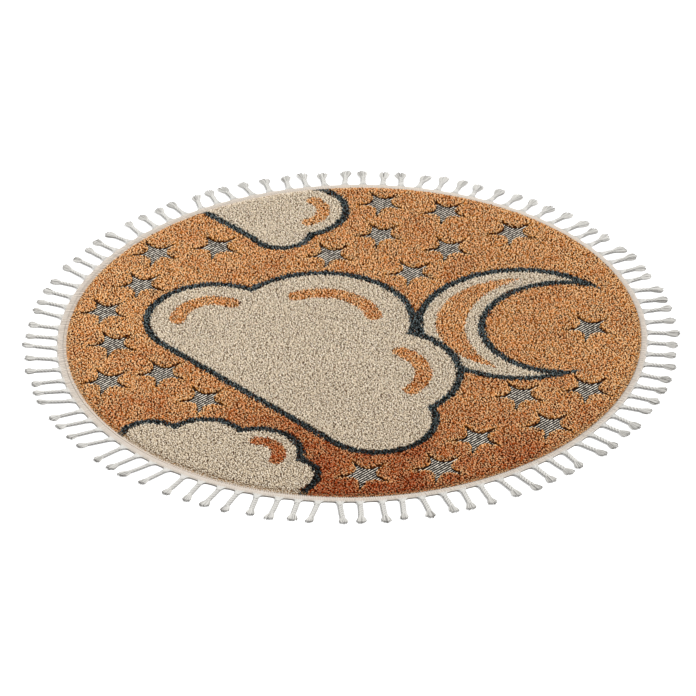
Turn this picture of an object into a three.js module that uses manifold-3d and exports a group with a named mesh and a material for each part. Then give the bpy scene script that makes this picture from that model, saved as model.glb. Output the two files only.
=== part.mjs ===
// Round children's rug: a woven pile disc with flat-woven stars sunk into it,
// edged by a scalloped fringe tape with tassels that lie on the floor.
// Millimetres, +Z up, floor at z = 0, the top of the pattern towards +Y.
import * as THREE from "three";
import { mergeVertices } from "three/addons/utils/BufferGeometryUtils.js";
import Module from "manifold-3d";

const wasm = await Module();
wasm.setup();

// Driving dimensions of the disc
const BODY_DIAMETER = 1200; // over the fringe tape's scallops, without the tassels
const PIECE_GAP = 0.35; // air between the pile's edge and the tape
const TAPE_WIDTH = 17.65; // at the scallops
const SCALLOP_DEPTH = 5.5; // how far the tape's edge draws in between tassels
const PILE_TOP = 10; // floor to the tips of the pile
const WEAVE_TOP = 4; // floor to the flat weave that shows inside the stars
const EDGE_STEPS = 94; // facets around the disc and the tape

// Driving dimensions of a star
const STAR_POINTS = 5;
const STAR_TIP = 52; // centre to a tip
const STAR_VALLEY = 16; // centre to the corner that each rounded valley leans on
const STAR_LIP_DEPTH = 2.5; // how far down the pile rounds over the edge
const STAR_LIP_SCALE = 1.09; // how much wider the star opens at the pile's tips
const CUT_CLEAR = 1; // how far a cutter stands out of the pile

// Driving dimensions of a tassel
const TASSEL_COUNT = 94;
const ROOT_SINK = 11; // length of a root inside the tape's scallop
const STEM_LENGTH = 36; // tape to the neck
const BRUSH_LENGTH = 22.5; // neck to the tips
const LONG_SIDE_ANGLE = THREE.MathUtils.degToRad(293); // where the stems are longest
const LONG_STEM = 10.5; // how much longer they are there, and shorter opposite
const SHORT_BRUSH = 3; // how much shorter the brushes are there, and longer opposite
const STEM_SPANS = 4; // straight stretches of a bowed stem
const CROWN = 0.65; // width of a strand's top, as a share of its foot

// A third of the fringe is brushed over clockwise, and the brushes are widest above the pattern
const SWEEP = THREE.MathUtils.degToRad(10.5);
const SWEEP_ANGLE = THREE.MathUtils.degToRad(222);
const SWEEP_REACH = { end: 0.42, full: 0.62 }; // cosines of the angle from its middle
const WIDE_BRUSH = 0.15;
const WIDE_BRUSH_ANGLE = THREE.MathUtils.degToRad(95);

// Unevenness of the fringe, the most either way
const PLACE_VARY = 0.05; // share of the distance between tassels
const LEAN_VARY = THREE.MathUtils.degToRad(8);
const BOW_VARY = 6;
const STEM_VARY = 3;
const BRUSH_VARY = 2;
const FLARE_VARY = 0.1;

const TAPE_OUTER = BODY_DIAMETER / 2;
const TAPE_INNER = TAPE_OUTER - TAPE_WIDTH;
const PILE_RADIUS = TAPE_INNER - PIECE_GAP;

// The pile's rim from the floor up: the seam holds it down, and it swells up behind
const RIM_PROFILE = [
  { inset: 0, height: 0 },
  { inset: 0, height: 3.8 },
  { inset: 3, height: 5.6 },
  { inset: 9, height: 8.4 },
  { inset: 16, height: PILE_TOP },
];

// The tape's section, anticlockwise from its inner foot
const TAPE_PROFILE = [
  { out: 0, height: 0 },
  { out: TAPE_WIDTH - SCALLOP_DEPTH, height: 0 },
  { out: TAPE_WIDTH - SCALLOP_DEPTH, height: 1.8 },
  { out: TAPE_WIDTH - SCALLOP_DEPTH - 1.6, height: 2.9 },
  { out: 1.2, height: 3.7 },
  { out: 0, height: 3 },
];

// Where the stars lie on the disc, tips up
const STARS = [
  { x: -45, y: 505 },
  { x: -205, y: 465 },
  { x: -325, y: 395 },
  { x: -95, y: 365 },
  { x: -235, y: 305 },
  { x: -250, y: 175 },
  { x: -80, y: 245 },
  { x: 325, y: 350 },
  { x: 480, y: 185 },
  { x: 400, y: 75 },
  { x: 515, y: 40 },
  { x: 450, y: -95 },
  { x: 470, y: -215 },
  { x: 385, y: -335 },
  { x: -440, y: 30 },
  { x: -510, y: -75 },
  { x: -440, y: -180 },
  { x: -415, y: -300 },
  { x: -310, y: -370 },
  { x: -160, y: -372 },
  { x: -215, y: -470 },
  { x: -30, y: -378 },
];

// A tassel's root, from inside the tape to the start of the stem
const ROOT_SECTIONS = [
  { along: -ROOT_SINK, wide: 30, high: 2.4 },
  { along: -4, wide: 17, high: 3.2 },
  { along: 1, wide: 12, high: 4 },
  { along: 6, wide: 10.4, high: 4.8 },
];
const NECK_SECTION = { wide: 9.4, high: 4.8 };

// A tassel's brush, from the neck to its tips, as shares of its length
const BRUSH_SECTIONS = [
  { share: 0.55, wide: 18.5, high: 5.4 },
  { share: 1, wide: 20.5, high: 3.6 },
];

// Irrational steps, so that no two tassels vary alike
const STEPS = {
  place: 0.618034,
  lean: 0.75487767,
  bow: 0.56984029,
  stem: 0.41421356,
  brush: 0.7320508,
  flare: 0.2360679,
};

function uneven(index, step) {
  return 2 * ((index * step) % 1) - 1;
}

// Moves every vertex of a geometry to the place that a function gives for it
function reshape(geometry, place) {
  const points = geometry.attributes.position;
  for (let i = 0; i < points.count; i += 1) {
    const [x, y, z] = place(points.getX(i), points.getY(i), points.getZ(i));
    points.setXYZ(i, x, y, z);
  }
  return geometry;
}

function toSolid(geometry) {
  geometry.deleteAttribute("normal");
  geometry.deleteAttribute("uv");
  const merged = mergeVertices(geometry);
  return new wasm.Manifold(
    new wasm.Mesh({
      numProp: 3,
      vertProperties: new Float32Array(merged.attributes.position.array),
      triVerts: new Uint32Array(merged.index.array),
    }),
  );
}

function toMesh(solid, name, material) {
  const { vertProperties, triVerts } = solid.getMesh();
  const geometry = new THREE.BufferGeometry();
  geometry.setAttribute("position", new THREE.BufferAttribute(vertProperties, 3));
  geometry.setIndex(new THREE.BufferAttribute(triVerts, 1));
  const mesh = new THREE.Mesh(geometry, material);
  mesh.name = name;
  return mesh;
}

// The pile disc: a drum whose side follows the rim's profile
function pileDisc() {
  const spans = RIM_PROFILE.length - 1;
  const drum = new THREE.CylinderGeometry(1, 1, 1, EDGE_STEPS, spans).rotateX(Math.PI / 2);
  reshape(drum, (x, y, z) => {
    const row = RIM_PROFILE[Math.round((z + 0.5) * spans)];
    const radius = PILE_RADIUS - row.inset;
    return [x * radius, y * radius, row.height];
  });
  return toSolid(drum);
}

function starOutline() {
  const polar = (radius, turn) => {
    const angle = Math.PI / 2 + (turn * 2 * Math.PI) / STAR_POINTS;
    return new THREE.Vector2(radius * Math.cos(angle), radius * Math.sin(angle));
  };
  const outline = new THREE.Shape();
  outline.moveTo(...polar(STAR_TIP, 0));
  for (let point = 0; point < STAR_POINTS; point += 1) {
    const valley = polar(STAR_VALLEY, point + 0.5);
    const before = polar(STAR_TIP, point).lerp(valley, 0.5);
    const tip = polar(STAR_TIP, point + 1);
    const after = tip.clone().lerp(valley, 0.5);
    outline.lineTo(before.x, before.y);
    outline.quadraticCurveTo(valley.x, valley.y, after.x, after.y);
    outline.lineTo(tip.x, tip.y);
  }
  return outline;
}

// What is left free of pile over a star: straight walls, then a wider lip
function starCutter({ x, y }) {
  const levels = [
    { height: WEAVE_TOP, scale: 1 },
    { height: PILE_TOP - STAR_LIP_DEPTH, scale: 1 },
    { height: PILE_TOP + CUT_CLEAR, scale: STAR_LIP_SCALE },
  ];
  const spans = levels.length - 1;
  const block = new THREE.ExtrudeGeometry(starOutline(), {
    depth: 1,
    steps: spans,
    bevelEnabled: false,
    curveSegments: 2,
  });
  reshape(block, (px, py, pz) => {
    const level = levels[Math.round(pz * spans)];
    return [x + px * level.scale, y + py * level.scale, level.height];
  });
  return toSolid(block);
}

function fringeTape() {
  const profile = TAPE_PROFILE.map(({ out, height }) => new THREE.Vector2(TAPE_INNER + out, height));
  profile.push(profile[0].clone());
  return toSolid(new THREE.LatheGeometry(profile, EDGE_STEPS).rotateX(Math.PI / 2));
}

// A four-sided strand through a list of sections, flat on the floor
function strand(sections, toRug) {
  const spans = sections.length - 1;
  const bar = new THREE.BoxGeometry(1, 1, 1, spans, 1, 1);
  reshape(bar, (x, y, z) => {
    const { along, wide, high } = sections[Math.round((x + 0.5) * spans)];
    const narrowing = z > 0 ? CROWN : 1;
    return toRug(along, y * wide * narrowing, (z + 0.5) * high);
  });
  return toSolid(bar);
}

// One tassel: a webbed root, a stem and a flared brush
function tassel(index) {
  const pitch = (2 * Math.PI) / TASSEL_COUNT;
  const angle = (index + PLACE_VARY * uneven(index, STEPS.place)) * pitch;
  const swept = THREE.MathUtils.smoothstep(Math.cos(angle - SWEEP_ANGLE), SWEEP_REACH.end, SWEEP_REACH.full);
  const lean = LEAN_VARY * uneven(index, STEPS.lean) - SWEEP * swept;
  const bow = BOW_VARY * uneven(index, STEPS.bow);
  const longer = Math.cos(angle - LONG_SIDE_ANGLE);
  const stem = STEM_LENGTH + LONG_STEM * longer + STEM_VARY * uneven(index, STEPS.stem);
  const brush = BRUSH_LENGTH - SHORT_BRUSH * longer + BRUSH_VARY * uneven(index, STEPS.brush);
  const wider = Math.cos(angle - WIDE_BRUSH_ANGLE);
  const flare = 1 + WIDE_BRUSH * wider + FLARE_VARY * uneven(index, STEPS.flare);
  const toRug = (along, across, up) => {
    const out = TAPE_OUTER + along * Math.cos(lean);
    const drift = across + along * Math.sin(lean) + bow * (along / (stem + brush)) ** 2;
    return [
      out * Math.cos(angle) - drift * Math.sin(angle),
      out * Math.sin(angle) + drift * Math.cos(angle),
      up,
    ];
  };
  const root = ROOT_SECTIONS[ROOT_SECTIONS.length - 1];
  const sections = [...ROOT_SECTIONS];
  for (let span = 1; span <= STEM_SPANS; span += 1) {
    const share = span / STEM_SPANS;
    sections.push({
      along: THREE.MathUtils.lerp(root.along, stem, share),
      wide: THREE.MathUtils.lerp(root.wide, NECK_SECTION.wide, share),
      high: THREE.MathUtils.lerp(root.high, NECK_SECTION.high, share),
    });
  }
  for (const { share, wide, high } of BRUSH_SECTIONS) {
    sections.push({ along: stem + share * brush, wide: wide * flare, high });
  }
  return strand(sections, toRug);
}

let disc = pileDisc();
for (const star of STARS) {
  disc = disc.subtract(starCutter(star));
}

let fringe = fringeTape();
for (let index = 0; index < TASSEL_COUNT; index += 1) {
  fringe = fringe.add(tassel(index));
}

const pileYarn = new THREE.MeshStandardMaterial({ color: 0xb37b4f, roughness: 0.95, metalness: 0 });
const fringeYarn = new THREE.MeshStandardMaterial({ color: 0xded6cb, roughness: 0.9, metalness: 0 });

const rug = new THREE.Group();
rug.add(toMesh(disc, "rug", pileYarn));
rug.add(toMesh(fringe, "fringe", fringeYarn));

export default rug;
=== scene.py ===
"""A round short-pile children's rug with sunken stars and a tasselled fringe, dressed for its looks."""
import math

import bmesh
import bpy
import numpy as np
from mathutils import Matrix, Vector


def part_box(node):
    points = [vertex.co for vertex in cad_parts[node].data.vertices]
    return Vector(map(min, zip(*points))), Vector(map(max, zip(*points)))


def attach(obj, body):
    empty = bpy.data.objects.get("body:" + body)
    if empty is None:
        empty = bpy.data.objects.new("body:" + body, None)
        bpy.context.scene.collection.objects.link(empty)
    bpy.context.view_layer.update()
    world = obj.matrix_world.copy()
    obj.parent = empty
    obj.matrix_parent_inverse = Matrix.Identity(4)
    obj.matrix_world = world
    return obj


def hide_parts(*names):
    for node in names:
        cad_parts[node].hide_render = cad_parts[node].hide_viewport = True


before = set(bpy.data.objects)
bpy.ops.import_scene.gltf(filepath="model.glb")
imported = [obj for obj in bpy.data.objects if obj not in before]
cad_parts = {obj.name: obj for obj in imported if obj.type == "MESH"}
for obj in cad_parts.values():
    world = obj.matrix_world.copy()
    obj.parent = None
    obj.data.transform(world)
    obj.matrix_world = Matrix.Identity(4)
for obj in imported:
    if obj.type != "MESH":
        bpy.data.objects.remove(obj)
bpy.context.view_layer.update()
MM = 0.001


# Woven ground: the flat jute cloth that carries the pile. It is woven with the pile and cut to
# a round, and its rim is lapped by the thread that overlocks it.
PILE_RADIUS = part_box("rug")[1].y
GROUND_TOP = 4 * MM
GROUND_BACK = 2.4 * MM
GROUND_SHY = 0.5 * MM
GROUND_SIDES = 188
RIM_STRIP = 14 * MM
COVER = {"mean": 2.2 * MM, "swing": 4 * MM, "turn": math.radians(20)}
CLOTH_SPECULAR = 0.03
CLOTH_SHEEN_ROUGHNESS = 0.6


def linear(colour):
    """An sRGB hex colour as linear red, green, blue and alpha."""
    parts = [int(colour[i : i + 2], 16) / 255 for i in (0, 2, 4)]
    return [c / 12.92 if c <= 0.04045 else ((c + 0.055) / 1.055) ** 2.4 for c in parts] + [1.0]


def add(tree, kind, inputs=(), **settings):
    """Adds a node with its settings; an input is a value, or the output that it is linked to."""
    node = tree.nodes.new("ShaderNode" + kind)
    for name, value in settings.items():
        setattr(node, name, value)
    for name, value in dict(inputs).items():
        if isinstance(value, bpy.types.NodeSocket):
            tree.links.new(value, node.inputs[name])
        else:
            node.inputs[name].default_value = value
    return node


def start_material(name, roughness, sheen, tint):
    """A cloth material with its shader, whose colour and bump are linked by the caller."""
    material = bpy.data.materials.new(name)
    material.use_nodes = True
    shader = material.node_tree.nodes["Principled BSDF"]
    shader.inputs["Roughness"].default_value = roughness
    shader.inputs["Specular IOR Level"].default_value = CLOTH_SPECULAR
    shader.inputs["Sheen Weight"].default_value = sheen
    shader.inputs["Sheen Roughness"].default_value = CLOTH_SHEEN_ROUGHNESS
    shader.inputs["Sheen Tint"].default_value = linear(tint)
    return material, material.node_tree, shader


def finish_piece(name, mesh, material, node):
    """Links a mesh as a piece that stands for a CAD node and rides on the rug."""
    piece = bpy.data.objects.new(name, mesh)
    bpy.context.scene.collection.objects.link(piece)
    mesh.materials.append(material)
    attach(piece, "root")
    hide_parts(node)
    return piece


def edge_cover(x, y):
    """How far the overlocking laps over the rug's rim: more on one side than on the other."""
    turn = np.arctan2(y, x) - COVER["turn"]
    return np.maximum(0, COVER["mean"] - COVER["swing"] * np.cos(turn))


def ground_weave():
    """Jute cloth: pale below and along its rim, painted dark brown among the roots of the pile as painted
    shade, and bound with thread at its rim.
    """
    material, tree, shader = start_material("jute_ground", roughness=0.95, sheen=0.1, tint="b39a78")
    place = add(tree, "TexCoord").outputs["Object"]
    height = add(tree, "SeparateXYZ", {"Vector": place}).outputs["Z"]
    upper = add(tree, "Math", {0: height, 1: GROUND_BACK}, operation="GREATER_THAN").outputs[0]
    from_middle = add(tree, "VectorMath", {0: place}, operation="LENGTH").outputs["Value"]
    strip_from = {0: from_middle, 1: PILE_RADIUS - RIM_STRIP}
    at_rim = add(tree, "Math", strip_from, operation="GREATER_THAN").outputs[0]
    # Painted shade: the top is dark brown under the pile, where the tufts shade it, and keeps the pale jute
    # colour only in the strip at the rim.
    woven = {"Factor": at_rim, 6: linear("6a3a1c"), 7: linear("a8845f")}
    top = add(tree, "Mix", woven, data_type="RGBA").outputs[2]
    lap_to = (math.cos(COVER["turn"]), math.sin(COVER["turn"]), 0)
    beside = add(tree, "VectorMath", {0: place, 1: lap_to}, operation="DOT_PRODUCT").outputs["Value"]
    share = add(tree, "Math", {0: beside, 1: from_middle}, operation="DIVIDE").outputs[0]
    bare_to = {0: share, 1: COVER["swing"], 2: PILE_RADIUS - COVER["mean"]}
    bare_radius = add(tree, "Math", bare_to, operation="MULTIPLY_ADD").outputs[0]
    lapped = add(tree, "Math", {0: from_middle, 1: bare_radius}, operation="GREATER_THAN").outputs[0]
    threaded = {"Factor": lapped, 6: top, 7: linear("dacab9")}
    bound = add(tree, "Mix", threaded, data_type="RGBA").outputs[2]
    both_faces = {"Factor": upper, 6: linear("b39a78"), 7: bound}
    colour = add(tree, "Mix", both_faces, data_type="RGBA").outputs[2]
    tree.links.new(colour, shader.inputs["Base Color"])
    return material


ground = bmesh.new()
bmesh.ops.create_circle(ground, cap_ends=True, radius=PILE_RADIUS - GROUND_SHY, segments=GROUND_SIDES)
raised = bmesh.ops.extrude_face_region(ground, geom=ground.faces[:])
upper_verts = [v for v in raised["geom"] if isinstance(v, bmesh.types.BMVert)]
bmesh.ops.translate(ground, verts=upper_verts, vec=(0, 0, GROUND_TOP))
bmesh.ops.recalc_face_normals(ground, faces=ground.faces[:])
ground_mesh = bpy.data.meshes.new("woven_ground")
ground.to_mesh(ground_mesh)
ground.free()
woven_ground = finish_piece("woven_ground", ground_mesh, ground_weave(), "rug")


# Stars: where the pattern has a star, no pile is cut and a flat weave shows, light grey heather
# cords over charcoal wool. Both are woven in with the ground, row by row along the warp.
STAR_POINTS = 5
STAR_TIP = 52 * MM
STAR_VALLEY = 16 * MM
STAR_CURVE_STEPS = 5
STARS = [
    {"x": -45, "y": 505},
    {"x": -205, "y": 465},
    {"x": -325, "y": 395},
    {"x": -95, "y": 365},
    {"x": -235, "y": 305},
    {"x": -250, "y": 175},
    {"x": -80, "y": 245},
    {"x": 325, "y": 350},
    {"x": 480, "y": 185},
    {"x": 400, "y": 75},
    {"x": 515, "y": 40},
    {"x": 450, "y": -95},
    {"x": 470, "y": -215},
    {"x": 385, "y": -335},
    {"x": -440, "y": 30},
    {"x": -510, "y": -75},
    {"x": -440, "y": -180},
    {"x": -415, "y": -300},
    {"x": -310, "y": -370},
    {"x": -160, "y": -372},
    {"x": -215, "y": -470},
    {"x": -30, "y": -378},
]
STAR_LAP = 1.05
WEAVE_RISE = 0.3 * MM
WEAVE_HEATHER = 2.5 * MM
RIB_PITCH = 5.8 * MM
RIB_WIDTH = 2.5 * MM
RIB_HEIGHT = 1.6 * MM
RIB_SIDES = 4
RIB_STEPS = 7
RIB_BEAD = 0.25
# Painted shadow: the ribs stop this far inside each star's edge, so the near-black weave shows as a dark
# band along the edge and in the tips.
RIB_SHADOW_BAND = 1.2 * MM
RIB_TRY_STEP = 0.5 * MM
RIB_LEAST_STEPS = 8
RIB_HEATHER = 6 * MM
CELL_MARGINS = {"along": 0.04, "round": 0.06, "cap": 0.02}
CELL_CAP_RADIUS = 0.015


def star_outline():
    """One star's edge: straight arms that meet in rounded valleys."""
    points = []
    for arm in range(STAR_POINTS):
        turns = [math.pi / 2 + (arm + part) * 2 * math.pi / STAR_POINTS for part in (0, 0.5, 1)]
        tip, middle, after = [np.array((math.cos(turn), math.sin(turn))) for turn in turns]
        valley = STAR_VALLEY * middle
        start = (STAR_TIP * tip + valley) / 2
        end = (STAR_TIP * after + valley) / 2
        points.append(STAR_TIP * tip)
        for t in np.linspace(0, 1, STAR_CURVE_STEPS):
            points.append((1 - t) ** 2 * start + 2 * t * (1 - t) * valley + t * t * end)
    return np.array(points)


def star_distance(x, y, reach=70 * MM):
    """Distance from each point to the nearest star's edge, below zero inside; far points get reach."""
    edge = star_outline()
    found = np.full(x.shape, reach)
    for star in STARS:
        px, py = x - star["x"] * MM, y - star["y"] * MM
        near = np.flatnonzero(np.hypot(px, py) < STAR_TIP + reach)
        p = np.stack([px[near], py[near]], 1)
        least = np.full(len(near), reach)
        inside = np.zeros(len(near), bool)
        for a, b in zip(edge, np.roll(edge, -1, 0)):
            along = b - a
            t = np.clip((p - a) @ along / (along @ along), 0, 1)
            least = np.minimum(least, np.linalg.norm(p - a - t[:, None] * along, axis=1))
            crosses = (a[1] > p[:, 1]) != (b[1] > p[:, 1])
            with np.errstate(divide="ignore", invalid="ignore"):
                at = a[0] + (p[:, 1] - a[1]) / (b[1] - a[1]) * (b[0] - a[0])
            inside ^= crosses & (p[:, 0] < at)
        found[near] = np.minimum(found[near], np.where(inside, -least, least))
    return found


def joined_mesh(name, verts, faces, attributes=(), uv=None):
    """A mesh from arrays: faces is a list of index arrays, each with its own number of corners."""
    mesh = bpy.data.meshes.new(name)
    corners = np.concatenate([f.ravel() for f in faces])
    totals = np.concatenate([np.full(len(f), f.shape[1]) for f in faces])
    mesh.vertices.add(len(verts))
    mesh.vertices.foreach_set("co", np.asarray(verts, np.float32).ravel())
    mesh.loops.add(len(corners))
    mesh.loops.foreach_set("vertex_index", corners.astype(np.int32))
    starts = np.cumsum(totals) - totals
    mesh.polygons.add(len(totals))
    mesh.polygons.foreach_set("loop_start", starts.astype(np.int32))
    mesh.polygons.foreach_set("use_smooth", np.ones(len(totals), bool))
    for key, values in dict(attributes).items():
        layer = mesh.attributes.new(key, "FLOAT", "POINT")
        layer.data.foreach_set("value", np.asarray(values, np.float32).ravel())
    if uv is not None:
        layer = mesh.uv_layers.new(name="OFBake")
        layer.uv.foreach_set("vector", np.asarray(uv, np.float32).ravel())
    mesh.update(calc_edges=True)
    return mesh


def swept_yarns(paths, radii, sides, squash=1.0):
    """Round yarns along many paths at once: their vertices, faces and cells of a UV map."""
    count, steps = paths.shape[:2]
    tangent = np.gradient(paths, axis=1)
    tangent /= np.linalg.norm(tangent, axis=2, keepdims=True)
    across = np.cross(tangent, (0, 0, 1))
    across /= np.maximum(np.linalg.norm(across, axis=2, keepdims=True), 1e-9)
    up = np.cross(across, tangent)
    turn = 2 * np.pi * np.arange(sides) / sides
    ring = (
        across[:, :, None] * np.cos(turn)[:, None] + squash * up[:, :, None] * np.sin(turn)[:, None]
    )
    verts = paths[:, :, None] + ring * radii[:, :, None, None]
    index = np.arange(count * steps * sides).reshape(count, steps, sides)
    after = np.roll(index, -1, 2)
    walls = np.stack([index[:, :-1], index[:, 1:], after[:, 1:], after[:, :-1]], -1)
    caps = np.concatenate([index[:, 0], index[:, -1, ::-1]])
    columns = math.ceil(math.sqrt(count / 4))
    rows = math.ceil(count / columns)
    cell = np.arange(count)[:, None, None]
    along, around, cap = [CELL_MARGINS[key] for key in ("along", "round", "cap")]
    lengthwise = np.linspace(along, 1 - along, steps)[:, None]
    crosswise = np.linspace(around, 1 - around, sides + 1)
    u = (cell % columns + lengthwise) / columns + 0 * crosswise
    v = (cell // columns + crosswise) / rows + 0 * lengthwise
    grid = np.stack([u, v], -1)
    corners = [grid[:, :-1, :-1], grid[:, 1:, :-1], grid[:, 1:, 1:], grid[:, :-1, 1:]]
    wall_uv = np.stack(corners, -2)
    cap_u = np.concatenate([(cell[:, 0] % columns + end) / columns for end in (cap, 1 - cap)])
    cap_u = cap_u + CELL_CAP_RADIUS / columns * np.cos(turn)
    cap_v = np.tile(v[:, 0, :-1], (2, 1))
    cap_uv = np.stack([cap_u, cap_v], -1)
    uv = np.concatenate([wall_uv.reshape(-1, 2), cap_uv.reshape(-1, 2)])
    return verts.reshape(-1, 3), [walls.reshape(-1, 4), caps], uv


def weave_mesh():
    """The charcoal floor of each star, a little larger than its outline."""
    weave = bmesh.new()
    for star in STARS:
        edge = STAR_LAP * star_outline() + (star["x"] * MM, star["y"] * MM)
        weave.faces.new([weave.verts.new((x, y, GROUND_TOP - WEAVE_RISE)) for x, y in edge])
    raised = bmesh.ops.extrude_face_region(weave, geom=weave.faces[:])
    upper = [v for v in raised["geom"] if isinstance(v, bmesh.types.BMVert)]
    bmesh.ops.translate(weave, verts=upper, vec=(0, 0, 2 * WEAVE_RISE))
    bmesh.ops.recalc_face_normals(weave, faces=weave.faces[:])
    mesh = bpy.data.meshes.new("star_weave")
    weave.to_mesh(mesh)
    weave.free()
    return mesh


def weave_wool():
    """Flat-woven charcoal wool: dull and dark, with a little heather."""
    material, tree, shader = start_material("charcoal_flat_weave", roughness=0.95, sheen=0.15, tint="8f9494")
    place = add(tree, "TexCoord").outputs["Object"]
    heather = add(tree, "TexNoise", {"Vector": place, "Scale": 1 / WEAVE_HEATHER, "Detail": 1.0})
    flecked = {"Factor": heather.outputs["Fac"], 6: linear("030404"), 7: linear("0e1010")}
    colour = add(tree, "Mix", flecked, data_type="RGBA").outputs[2]
    tree.links.new(colour, shader.inputs["Base Color"])
    return material


def rib_lines():
    """Each rib's row and its two ends, stopping short of the star's edge so that bare dark weave shows there
    as painted shadow.
    """
    lines = []
    for star in STARS:
        first = math.ceil((star["x"] * MM - STAR_TIP) / RIB_PITCH)
        last = math.floor((star["x"] * MM + STAR_TIP) / RIB_PITCH)
        for row in range(first, last + 1):
            y = np.arange(star["y"] * MM - STAR_TIP, star["y"] * MM + STAR_TIP, RIB_TRY_STEP)
            inside = star_distance(np.full(y.shape, row * RIB_PITCH), y) < -RIB_SHADOW_BAND
            change = np.flatnonzero(np.diff(np.concatenate([[False], inside, [False]]).astype(int)))
            for begin, end in change.reshape(-1, 2):
                if end - begin > RIB_LEAST_STEPS:
                    lines.append((row * RIB_PITCH, y[begin], y[end - 1]))
    return lines


def rib_mesh():
    """Low ridges, beaded where the weft crosses them."""
    x, y0, y1 = np.array(rib_lines()).T[:, :, None]
    y = y0 + np.linspace(0, 1, RIB_STEPS) * (y1 - y0)
    paths = np.stack([x + 0 * y, y, GROUND_TOP + 0 * y], -1)
    bead = np.where(np.arange(RIB_STEPS) % 2 == 0, 1.0, 1.0 - RIB_BEAD)
    radii = RIB_WIDTH / 2 * bead + 0 * y
    verts, faces, uv = swept_yarns(paths, radii, RIB_SIDES, RIB_HEIGHT / (RIB_WIDTH / 2))
    return joined_mesh("star_ribs", verts, faces, uv=uv)


def rib_yarn():
    """Light grey heather yarn: pale, soft fibres with darker, brownish ones among them."""
    material, tree, shader = start_material("grey_heather_yarn", roughness=0.9, sheen=0.25, tint="d5d8d8")
    place = add(tree, "TexCoord").outputs["Object"]
    fibres = add(tree, "TexNoise", {"Vector": place, "Scale": 1 / RIB_HEATHER, "Detail": 1.0})
    ramp = add(tree, "ValToRGB", {"Fac": fibres.outputs["Fac"]})
    ramp.color_ramp.elements[0].position = 0.38
    ramp.color_ramp.elements[0].color = linear("8c8276")
    ramp.color_ramp.elements[1].position = 0.6
    ramp.color_ramp.elements[1].color = linear("fdf3e2")
    tree.links.new(ramp.outputs["Color"], shader.inputs["Base Color"])
    return material


star_weave = finish_piece("star_weave", weave_mesh(), weave_wool(), "rug")
star_ribs = finish_piece("star_ribs", rib_mesh(), rib_yarn(), "rug")


# Pile: short twisted tufts of polypropylene yarn, cut and heat-set so that they stand kinked and
# close. Each tuft is one colour, terracotta, cream or charcoal, woven row by row into the ground.
TUFT_SEED = 11
TUFT_SIDES = 3
TUFT_SHOULDER = 0.62
TUFT_SPREAD = 0.95
TUFT_WIDTHS = (0.66, 0.84)
TUFT_JITTER = 0.16
TUFT_UNEVEN = 0.35 * MM
TUFT_BEND = 1.3
TUFT_TUCK = 0.3 * MM
TUFT_MARGINS = {"round": 0.1, "up": 0.08}
EDGE_ROWS = 2
STAR_ARM = {"from": 30 * MM, "length": 14 * MM}
STAR_ROW = 0.55
STAR_TIP_GAP = 0.5 * MM
STAR_DROP = {"most": 1.2 * MM, "over": 4 * MM}
STAR_LEAN = {"valley": 0.38, "less_at_tip": 0.58, "over": 5 * MM}
RIM_SHY = 1 * MM
RIM_GAP = 0.2 * MM
RIM_LEAN = {"most": 0.3, "over": 5 * MM}
RIM_HEIGHTS = {"inset": [0, 3, 9, 16], "height": [5.2, 6.2, 8.6, 10]}
# Painted shadow down the tufts beside the stars, and painted light down the outer tufts at the rim.
SHADOW = {"star_over": 3 * MM, "rim_share": 0.32, "rim_over": 4 * MM, "power": 2.5}
OUTLINE = 16 * MM
OUTLINE_STRAY = 1.4 * MM
CLOUDS = [
    {
        "base": {"x0": -235, "y0": -190, "x1": 265, "y1": -190, "radius": 110},
        "puffs": [
            {"x": -235, "y": -165, "radius": 135},
            {"x": -75, "y": -20, "radius": 190},
            {"x": 145, "y": -70, "radius": 165},
            {"x": 265, "y": -185, "radius": 115},
        ],
    },
    {
        "base": {"x0": -560, "y0": 170, "x1": -420, "y1": 170, "radius": 62},
        "puffs": [
            {"x": -520, "y": 205, "radius": 95},
            {"x": -425, "y": 250, "radius": 100},
            {"x": -385, "y": 165, "radius": 62},
        ],
    },
    {
        "base": {"x0": 0, "y0": -545, "x1": 290, "y1": -480, "radius": 60},
        "puffs": [
            {"x": 85, "y": -480, "radius": 82},
            {"x": 185, "y": -435, "radius": 88},
            {"x": 280, "y": -445, "radius": 62},
        ],
    },
]
MOON = {"x": 215, "y": 265, "radius": 205}
MOON_HOLLOW = {"x": 290, "y": 320, "radius": 170}
MOON_INLAY = 34
CURLS = [
    {"x": -75, "y": -20, "radius": 112, "middle": 110, "half": 52, "width": 34},
    {"x": 145, "y": -70, "radius": 92, "middle": 55, "half": 50, "width": 34},
    {"x": -235, "y": -165, "radius": 72, "middle": 165, "half": 60, "width": 34},
    {"x": -425, "y": 250, "radius": 52, "middle": 40, "half": 60, "width": 28},
    {"x": 185, "y": -435, "radius": 45, "middle": 75, "half": 60, "width": 28},
]
# The lay tilts the tufts and also sets their painted shading: painted sheen where brushed over, painted
# shade where open, deeper towards the lower right and paler by the stars and the rim.
LAY = {"base": 0.36, "low_right": 0.78, "aside": 0.15}
LAY_AND_SHEEN_AT_STAR = {"share": 0.9, "over": 5 * MM}
LAY_AND_SHEEN_AT_RIM = {"share": 0.4, "over": 6 * MM}
LAY_LEAN = {"x": 0.3, "y": -0.4}
LAY_PATCHES = [
    {"share": 0.05, "size": 150, "seed": 1},
    {"share": 0.09, "size": 62, "seed": 2},
    {"share": 0.15, "size": 25, "seed": 3},
]
# Painted highlight at the cut tips of the tufts, stronger where the lay is brushed over.
TIP_HIGHLIGHT = {"by_lay": -0.8, "most": 1.29}
TERRACOTTA, CREAM, CHARCOAL = range(3)


def from_disc(x, y, disc):
    """Distance from a disc's edge, below zero inside it."""
    return np.hypot(x - disc["x"] * MM, y - disc["y"] * MM) - disc["radius"] * MM


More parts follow.
